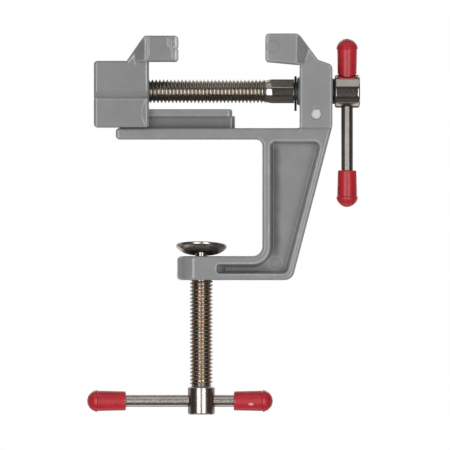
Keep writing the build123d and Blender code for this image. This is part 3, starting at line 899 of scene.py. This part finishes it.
class VISE_OT_bars(bpy.types.Operator):
    """Turn both tommy bars"""

    bl_idname = "vise.bars"
    bl_label = "Tommy bars"

    def bar(self, low, high, segments):
        """A bar along Z between two heights, with broken ends."""
        broken = BAR_R / 10
        points = [(0, low), (BAR_R - broken, low), (BAR_R, low + broken)]
        points += [(BAR_R, high - broken), (BAR_R - broken, high), (0, high)]
        return turned(points, segments)

    def execute(self, context):
        finish, segments = context.scene.vise_finish, context.scene.vise_screw.segments // 2
        lead = self.bar(LEAD_BAR_LOW.z, LEAD_BAR_HIGH.z, segments)
        moved(lead, Matrix.Translation((LEAD_BAR_X, 0, 0)))
        # the lead bar's plate is darkened as painted shade
        steel = nickel_plate("lead_bar_nickel", finish, 0.3, "Z", shade=0.44, rim=1.0, pitting=0.06)
        piece("lead_tommy_bar", lead, steel, "lead_handle", "plated_steel", "lead_bar")
        clamp = moved(self.bar(CLAMP_BAR_LOW.x, CLAMP_BAR_HIGH.x, segments), ON_CLAMP_BAR)
        steel = nickel_plate("clamp_bar_nickel", finish, 0.2, "X", rim=1.0, pitting=0.06)
        piece("clamp_tommy_bar", clamp, steel, "clamp_handle", "plated_steel", "clamp_bar")
        return {"FINISHED"}


class VISE_OT_grips(bpy.types.Operator):
    """Mould the four soft caps on the bars"""

    bl_idname = "vise.grips"
    bl_label = "Soft caps"

    def cap(self, grip, length):
        """A cap with its mouth at the origin and its tip up at this length."""
        lip, bore_edge, dome_steps = 0.45 * MM, 0.2 * MM, 12
        bore = BAR_R + 0.02 * MM
        dome_low = length - grip.dome
        floor = length - grip.floor
        ball = (grip.rim**2 + grip.dome**2) / (2 * grip.dome)
        widest = math.asin(grip.rim / ball)
        points = [(0, floor), (bore, floor), (bore, bore_edge), (bore + bore_edge, 0)]
        points += [(grip.mouth - lip, 0), (grip.mouth - 0.1 * MM, 0.15 * MM), (grip.mouth, lip)]
        points += [(grip.body, dome_low - 0.35 * MM), (grip.rim - 0.05 * MM, dome_low - 0.12 * MM)]
        for step in range(dome_steps + 1):
            angle = widest * (1 - step / dome_steps)
            points.append((ball * math.sin(angle), length - ball + ball * math.cos(angle)))
        return turned(points, grip.segments)

    def saddled(self, cap):
        """The cap with its mouth hollowed to sit on the round head under it."""
        fade_height = 3 * MM
        for vert in cap.verts:
            fade = 1 - min(1.0, vert.co.z / fade_height)
            sag = LEAD_HEAD_R - math.sqrt(LEAD_HEAD_R**2 - min(vert.co.y**2, LEAD_HEAD_R**2))
            vert.co.z -= sag * fade
        return cap

    def execute(self, context):
        grip = context.scene.vise_grip
        vinyl = red_vinyl("red_vinyl_cap", context.scene.vise_finish)
        over = Matrix.Rotation(math.pi, 4, "X")
        left = Matrix.Rotation(-math.pi / 2, 4, "Y")
        head_play = 0.05 * MM
        low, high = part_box("lead_upper_grip")
        seat = LEAD_Z + LEAD_HEAD_R + head_play
        place = Matrix.Translation((LEAD_BAR_X, 0, seat))
        places = [(self.saddled(self.cap(grip, high.z - seat)), place, "lead_upper_grip")]
        low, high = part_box("lead_lower_grip")
        place = Matrix.Translation((LEAD_BAR_X, 0, high.z)) @ over
        places.append((self.cap(grip, high.z - low.z), place, "lead_lower_grip"))
        low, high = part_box("clamp_left_grip")
        place = Matrix.Translation((high.x, 0, CLAMP_BAR_Z)) @ left
        places.append((self.cap(grip, high.x - low.x), place, "clamp_left_grip"))
        low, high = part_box("clamp_right_grip")
        place = Matrix.Translation((low.x, 0, CLAMP_BAR_Z)) @ ALONG_X
        places.append((self.cap(grip, high.x - low.x), place, "clamp_right_grip"))
        for form, matrix, node in places:
            body = node.split("_")[0] + "_handle"
            piece(node.replace("_grip", "_cap"), moved(form, matrix), vinyl, body, "red_vinyl", node)
        return {"FINISHED"}


class VISE_OT_pad(bpy.types.Operator):
    """Press the swivel pad and set its rivet"""

    bl_idname = "vise.pad"
    bl_label = "Swivel pad"

    def execute(self, context):
        pad, finish = context.scene.vise_pad, context.scene.vise_finish
        lip_low = pad.rim - pad.lip
        floor = pad.hub_low + pad.sheet
        inner = pad.radius - pad.sheet
        underside = bowed((pad.hub, pad.hub_low), (pad.radius, lip_low), pad.bowl)
        topside = bowed((inner, lip_low + pad.sheet / 2), (pad.hub - pad.sheet / 2, floor), pad.bowl)
        dish = turned(
            [
                (pad.hole, pad.hub_low),
                *underside,
                (pad.radius, pad.rim),
                (inner, pad.rim),
                *topside,
                (pad.hole, floor),
            ],
            pad.segments,
            closed=True,
            hold=0.35 * MM,
        )
        break_edges(dish, 0.25 * MM, 4)
        pivot = Matrix.Translation(Vector(PAD_JOINT["pos_m"]))
        half_range = math.radians(PAD_JOINT["range_deg"][1] / 2)
        lean = Matrix.Rotation(-half_range, 4, Vector(PAD_JOINT["axis"]))
        level = Matrix.Rotation(-pad.level, 4, "Y")
        moved(dish, pivot @ level @ lean @ pivot.inverted())
        steel = nickel_plate("pad_nickel", finish, 0.2, "Z", shade=0.95)
        piece("swivel_pad_dish", dish, steel, "pad", "plated_steel", "swivel_pad")
        head_low = RIVET_HIGH.z - pad.rivet_head
        rivet = turned(
            [
                (0, RIVET_LOW.z),
                (pad.neck, RIVET_LOW.z),
                (pad.neck, head_low),
                (RIVET_HIGH.x, head_low),
                (RIVET_HIGH.x, head_low + pad.rivet_head / 2),
                (RIVET_HIGH.x * 0.75, RIVET_HIGH.z - 0.1 * MM),
                (0, RIVET_HIGH.z),
            ],
            pad.segments * 3 // 4,
        )
        break_edges(rivet, 0.15 * MM)
        # the rivet's plate is darkened as painted shade
        steel = nickel_plate("rivet_nickel", finish, 0.12, "Z", shade=0.6)
        piece("pad_rivet_headed", rivet, steel, "rivet", "plated_steel", "pad_rivet")
        return {"FINISHED"}


class VISE_OT_clip(bpy.types.Operator):
    """Blacken the clip on the lead screw and put a thin black ring under the head, as painted shade on
    the shank
    """

    bl_idname = "vise.clip"
    bl_label = "Clip"

    def execute(self, context):
        oxide = black_oxide("clip_oxide", context.scene.vise_finish)
        dress("screw_clip", oxide)
        screw = context.scene.vise_screw
        # a dark ring as painted shade where the shank lies in shadow by the head
        thickness, head_play = 0.7 * MM, 0.05 * MM
        right = LEAD_HIGH.x - screw.lead_head - head_play
        left, inner, outer = right - thickness, screw.shank + 0.02 * MM, screw.shank + 0.3 * MM
        points = [(inner, left), (outer, left), (outer, right), (inner, right)]
        shade_ring = break_edges(turned(points, screw.segments, closed=True), 0.1 * MM)
        moved(shade_ring, ON_LEAD_AXIS)
        piece("shank_shade_ring", shade_ring, oxide, "lead_spindle", "black_steel")
        return {"FINISHED"}


class VISE_OT_stage(bpy.types.Operator):
    """Set up the pale floor, the soft light and the camera"""

    bl_idname = "vise.stage"
    bl_label = "Stage"

    def floor(self, stage):
        """A pale floor: nearly white to the camera with the vise's shadow, and open to the lamps."""
        half_width = 6
        bm = bmesh.new()
        bmesh.ops.create_grid(bm, x_segments=1, y_segments=1, size=half_width)
        moved(bm, Matrix.Translation((0, 0, CAD_LOW.z - stage.floor_drop)))
        mesh = bpy.data.meshes.new("floor")
        bm.to_mesh(mesh)
        bm.free()
        material = bpy.data.materials.new("pale_floor")
        material.use_nodes = True
        tree = material.node_tree
        shader = tree.nodes["Principled BSDF"]
        path = add(tree, "ShaderNodeLightPath").outputs
        set_shader(tree, shader, Base_Color=(0.8, 0.8, 0.8), Roughness=0.8, Specular_IOR_Level=0.1)
        coords = add(tree, "ShaderNodeTexCoord").outputs["Object"]
        away = vector_node(tree, "LENGTH", {0: coords})
        seen = largest(tree, path["Is Camera Ray"], path["Is Transmission Ray"])
        seen = product(tree, seen, ramp(tree, away, 0.15, 0.65, 0.7, 1.0))
        glow = add(tree, "ShaderNodeEmission", {"Color": (1, 1, 1)}).outputs[0]
        lit = add(tree, "ShaderNodeMixShader", {0: seen, 1: shader.outputs[0], 2: glow}).outputs[0]
        below = add(tree, "ShaderNodeNewGeometry").outputs["Backfacing"]
        passes = largest(tree, path["Is Shadow Ray"], path["Is Glossy Ray"], below)
        clear = add(tree, "ShaderNodeBsdfTransparent").outputs[0]
        surface = add(tree, "ShaderNodeMixShader", {0: passes, 1: lit, 2: clear}).outputs[0]
        feed(tree, tree.nodes["Material Output"].inputs["Surface"], surface)
        mesh.materials.append(material)
        plane = bpy.data.objects.new("floor", mesh)
        bpy.context.scene.collection.objects.link(plane)

    def lamp(self, name, power, width, height, azimuth, elevation):
        """A soft rectangular lamp that faces the vise. An azimuth of 0 is the front."""
        distance = 1.25
        data = bpy.data.lights.new(name, "AREA")
        data.shape = "RECTANGLE"
        data.size, data.size_y = width, height
        data.energy = power
        lamp = bpy.data.objects.new(name, data)
        bpy.context.scene.collection.objects.link(lamp)
        turn, rise = math.radians(azimuth), math.radians(elevation)
        level = math.cos(rise)
        back = Vector((math.sin(turn) * level, -math.cos(turn) * level, math.sin(rise)))
        target = (CAD_LOW + CAD_HIGH) / 2
        lamp.location = target + back * distance
        lamp.rotation_euler = (-back).to_track_quat("-Z", "Y").to_euler()
        lamp.visible_camera = False

    def world(self, stage):
        """White to the camera. Metal sees it pale behind, above and below, and dark in front."""
        world = bpy.data.worlds.new("studio")
        bpy.context.scene.world = world
        world.use_nodes = True
        world.cycles.sampling_method = "NONE"
        tree = world.node_tree
        direction = add(tree, "ShaderNodeTexCoord").outputs["Generated"]
        part = add(tree, "ShaderNodeSeparateXYZ", {"Vector": direction}).outputs
        aside = ramp(tree, off_centre(tree, part["X"]), 0.5, 0.8, 0.0, 0.55)
        wall = largest(tree, ramp(tree, part["Z"], -0.15, 0.1, 0.12, 0.35), aside)
        behind = product(tree, ramp(tree, part["Y"], 0.15, 0.35), wall)
        above = ramp(tree, part["Y"], -0.05, 0.2, 0.6, 0.1)
        above = product(tree, above, ramp(tree, part["Z"], 0.5, 0.6))
        below = ramp(tree, part["Y"], -0.1, 0.1, 0.1, 0.9)
        below = product(tree, below, ramp(tree, part["Z"], -0.85, -0.7, 1.0, 0.0))
        mirrored = largest(tree, behind, above, below, stage.front)
        steep = off_centre(tree, part["Z"])
        ambient = ramp(tree, steep, 0.5, 0.9, stage.ambient, 3 * stage.ambient)
        path = add(tree, "ShaderNodeLightPath").outputs
        level = blend_colour(tree, path["Is Glossy Ray"], ambient, mirrored)
        seen = largest(tree, path["Is Camera Ray"], path["Is Transmission Ray"])
        level = blend_colour(tree, seen, level, (1, 1, 1))
        background = tree.nodes["Background"]
        feed(tree, background.inputs["Color"], level)
        feed(tree, background.inputs["Strength"], 1.0)

    def camera(self, stage):
        """A long lens level with the vise, square to its front."""
        data = bpy.data.cameras.new("camera")
        data.lens = data.sensor_width * stage.distance / stage.view_width
        data.clip_end = 20
        camera = bpy.data.objects.new("camera", data)
        bpy.context.scene.collection.objects.link(camera)
        camera.location = (stage.view_x, -stage.distance, stage.view_z)
        camera.rotation_euler = (math.pi / 2, 0, 0)
        bpy.context.scene.camera = camera

    def execute(self, context):
        stage = context.scene.vise_stage
        context.scene.view_settings.view_transform = "Standard"
        self.floor(stage)
        front_box = {"width": 0.55, "height": 1.3, "elevation": -7}
        back_box = {"width": 0.6, "height": 2.4, "elevation": 12}
        self.lamp("softbox_left", stage.key, azimuth=-21, **front_box)
        self.lamp("softbox_right", stage.fill, azimuth=21, **front_box)
        self.lamp("softbox_back_left", stage.back, azimuth=-159, **back_box)
        self.lamp("softbox_back_right", stage.back, azimuth=159, **back_box)
        self.world(stage)
        self.camera(stage)
        return {"FINISHED"}


class VISE_PT_pieces(bpy.types.Panel):
    """Lists the vise's pieces in the sidebar"""

    bl_label = "Vise"
    bl_space_type = "VIEW_3D"
    bl_region_type = "UI"
    bl_category = "Vise"

    def draw(self, context):
        for operator in OPERATORS:
            self.layout.operator(operator.bl_idname)


SETTINGS = {
    "vise_thread": ThreadSettings,
    "vise_screw": ScrewSettings,
    "vise_grip": GripSettings,
    "vise_pad": PadSettings,
    "vise_finish": FinishSettings,
    "vise_stage": StageSettings,
}
OPERATORS = (
    VISE_OT_castings,
    VISE_OT_lead_screw,
    VISE_OT_clamp_screw,
    VISE_OT_bars,
    VISE_OT_grips,
    VISE_OT_pad,
    VISE_OT_clip,
    VISE_OT_stage,
)
CLASSES = (*SETTINGS.values(), *OPERATORS, VISE_PT_pieces)


def register():
    """Makes the settings, the operators and the panel known."""
    for cls in CLASSES:
        bpy.utils.register_class(cls)
    for name, cls in SETTINGS.items():
        setattr(bpy.types.Scene, name, PointerProperty(type=cls))


def unregister():
    """Takes them out again."""
    for name in SETTINGS:
        delattr(bpy.types.Scene, name)
    for cls in reversed(CLASSES):
        bpy.utils.unregister_class(cls)


def main():
    """Builds the vise and its stage."""
    register()
    for operator in OPERATORS:
        group, name = operator.bl_idname.split(".")
        getattr(getattr(bpy.ops, group), name)()


if __name__ == "__main__":
    main()
